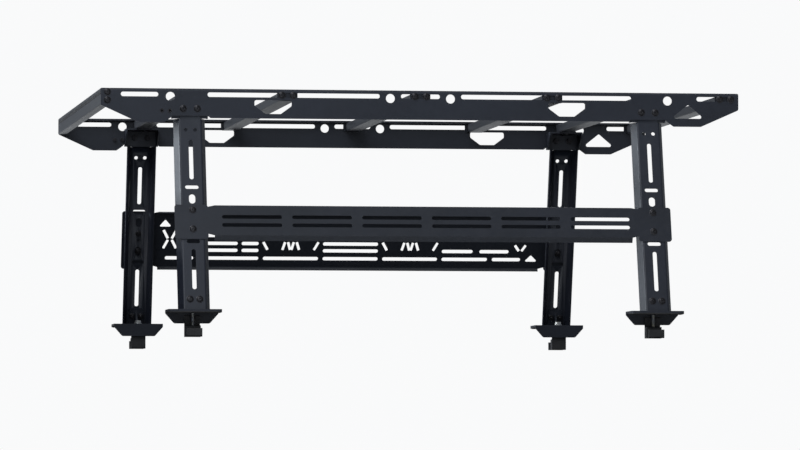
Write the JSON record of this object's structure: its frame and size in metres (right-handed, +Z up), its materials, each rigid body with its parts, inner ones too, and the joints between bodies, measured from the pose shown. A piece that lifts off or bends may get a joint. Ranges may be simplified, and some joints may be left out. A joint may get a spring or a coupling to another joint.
{
  "type": "pickup bed ladder rack",
  "caption": "Pickup-bed ladder rack: slotted side rails on leaning towers with clamp feet, sliding crossbars between them and a slotted panel on each side.",
  "frame": {"origin": "midway between the four feet, in the plane of the truck's bed rails on which the rubber pads stand", "axes": "+X towards the tailgate, +Y towards the passenger's side, +Z up"},
  "size_m": [1.8248, 1.744, 0.701],
  "materials": {
    "powder_coat": "fine-textured satin black powder coat on steel",
    "panel_coat": "fine-textured satin black powder coat on steel sheet",
    "black_aluminium": "black powder-coated extrusion",
    "cast_black": "black e-coated casting",
    "black_fastener": "black-oxide steel",
    "zinc_steel": "bright zinc plate",
    "rubber": "matte ribbed rubber"
  },
  "bodies": {
    "rack_frame": {"clamp_washers": "zinc_steel", "crossbar_front_tower": "black_aluminium", "crossbar_nut_plates": "zinc_steel", "crossbar_rear_tower": "black_aluminium", "crossbar_shelf_bolts": "black_fastener", "flange_nuts": "black_fastener", "foot_bolts": "black_fastener", "foot_front_left": "powder_coat", "foot_front_right": "powder_coat", "foot_pad_front_left": "rubber", "foot_pad_front_right": "rubber", "foot_pad_rear_left": "rubber", "foot_pad_rear_right": "rubber", "foot_rear_left": "powder_coat", "foot_rear_right": "powder_coat", "front_cross_member": "black_aluminium", "front_member_bolts": "black_fastener", "front_member_strip": "rubber", "panel_bolts": "black_fastener", "rail_inserts": "black_fastener", "rail_to_tower_bolts": "black_fastener", "side_panel_left": "panel_coat", "side_panel_right": "panel_coat", "side_rail_left": "powder_coat", "side_rail_right": "powder_coat", "tower_crossbar_strips": "rubber", "tower_front_left": "powder_coat", "tower_front_right": "powder_coat", "tower_head_front_left": "powder_coat", "tower_head_front_right": "powder_coat", "tower_head_rear_left": "powder_coat", "tower_head_rear_right": "powder_coat", "tower_rear_left": "powder_coat", "tower_rear_right": "powder_coat"},
    "sliding_bar_front_middle": {"crossbar_front_middle": "black_aluminium", "end_plates_front_middle": "powder_coat", "slide_bolts_front_middle": "black_fastener", "strip_front_middle": "rubber"},
    "sliding_bar_centre": {"crossbar_centre": "black_aluminium", "end_plates_centre": "powder_coat", "slide_bolts_centre": "black_fastener", "strip_centre": "rubber"},
    "sliding_bar_rear_middle": {"crossbar_rear_middle": "black_aluminium", "end_plates_rear_middle": "powder_coat", "slide_bolts_rear_middle": "black_fastener", "strip_rear_middle": "rubber"},
    "sliding_bar_rear_end": {"crossbar_rear_end": "black_aluminium", "end_plates_rear_end": "powder_coat", "slide_bolts_rear_end": "black_fastener", "strip_rear_end": "rubber"},
    "clamp_jaw_front_left": {"clamp_jaw_front_left": "cast_black"},
    "clamp_bolt_front_left": {"clamp_bolt_front_left": "zinc_steel"},
    "clamp_jaw_front_right": {"clamp_jaw_front_right": "cast_black"},
    "clamp_bolt_front_right": {"clamp_bolt_front_right": "zinc_steel"},
    "clamp_jaw_rear_left": {"clamp_jaw_rear_left": "cast_black"},
    "clamp_bolt_rear_left": {"clamp_bolt_rear_left": "zinc_steel"},
    "clamp_jaw_rear_right": {"clamp_jaw_rear_right": "cast_black"},
    "clamp_bolt_rear_right": {"clamp_bolt_rear_right": "zinc_steel"}
  },
  "joints": [
    {"name": "front_middle_bar_slide", "type": "slide", "parent": "rack_frame", "child": "sliding_bar_front_middle", "axis": [1, 0, 0], "range_m": [-0.19, 0.24]},
    {"name": "centre_bar_slide", "type": "slide", "parent": "rack_frame", "child": "sliding_bar_centre", "axis": [1, 0, 0], "range_m": [-0.035, 0.035]},
    {"name": "rear_middle_bar_slide", "type": "slide", "parent": "rack_frame", "child": "sliding_bar_rear_middle", "axis": [1, 0, 0], "range_m": [-0.24, 0.19]},
    {"name": "rear_end_bar_slide", "type": "slide", "parent": "rack_frame", "child": "sliding_bar_rear_end", "axis": [1, 0, 0], "range_m": [-0.06, 0]},
    {"name": "clamp_bolt_front_left_turn", "type": "hinge", "parent": "rack_frame", "child": "clamp_bolt_front_left", "pos_m": [-0.655, -0.792, 0], "axis": [0, 0, 1], "range_deg": [0, 3600]},
    {"name": "clamp_jaw_front_left_travel", "type": "slide", "parent": "rack_frame", "child": "clamp_jaw_front_left", "axis": [0, 0, 1], "range_m": [-0.015, 0]},
    {"name": "clamp_bolt_front_right_turn", "type": "hinge", "parent": "rack_frame", "child": "clamp_bolt_front_right", "pos_m": [-0.655, 0.792, 0], "axis": [0, 0, 1], "range_deg": [0, 3600]},
    {"name": "clamp_jaw_front_right_travel", "type": "slide", "parent": "rack_frame", "child": "clamp_jaw_front_right", "axis": [0, 0, 1], "range_m": [-0.015, 0]},
    {"name": "clamp_bolt_rear_left_turn", "type": "hinge", "parent": "rack_frame", "child": "clamp_bolt_rear_left", "pos_m": [0.655, -0.792, 0], "axis": [0, 0, 1], "range_deg": [0, 3600]},
    {"name": "clamp_jaw_rear_left_travel", "type": "slide", "parent": "rack_frame", "child": "clamp_jaw_rear_left", "axis": [0, 0, 1], "range_m": [-0.015, 0]},
    {"name": "clamp_bolt_rear_right_turn", "type": "hinge", "parent": "rack_frame", "child": "clamp_bolt_rear_right", "pos_m": [0.655, 0.792, 0], "axis": [0, 0, 1], "range_deg": [0, 3600]},
    {"name": "clamp_jaw_rear_right_travel", "type": "slide", "parent": "rack_frame", "child": "clamp_jaw_rear_right", "axis": [0, 0, 1], "range_m": [-0.015, 0]}
  ],
  "couplings": [
    {"joint": "clamp_bolt_front_left_turn", "follows": "clamp_jaw_front_left_travel", "rad_per_m": -4188.8},
    {"joint": "clamp_bolt_front_right_turn", "follows": "clamp_jaw_front_right_travel", "rad_per_m": -4188.8},
    {"joint": "clamp_bolt_rear_left_turn", "follows": "clamp_jaw_rear_left_travel", "rad_per_m": -4188.8},
    {"joint": "clamp_bolt_rear_right_turn", "follows": "clamp_jaw_rear_right_travel", "rad_per_m": -4188.8}
  ]
}
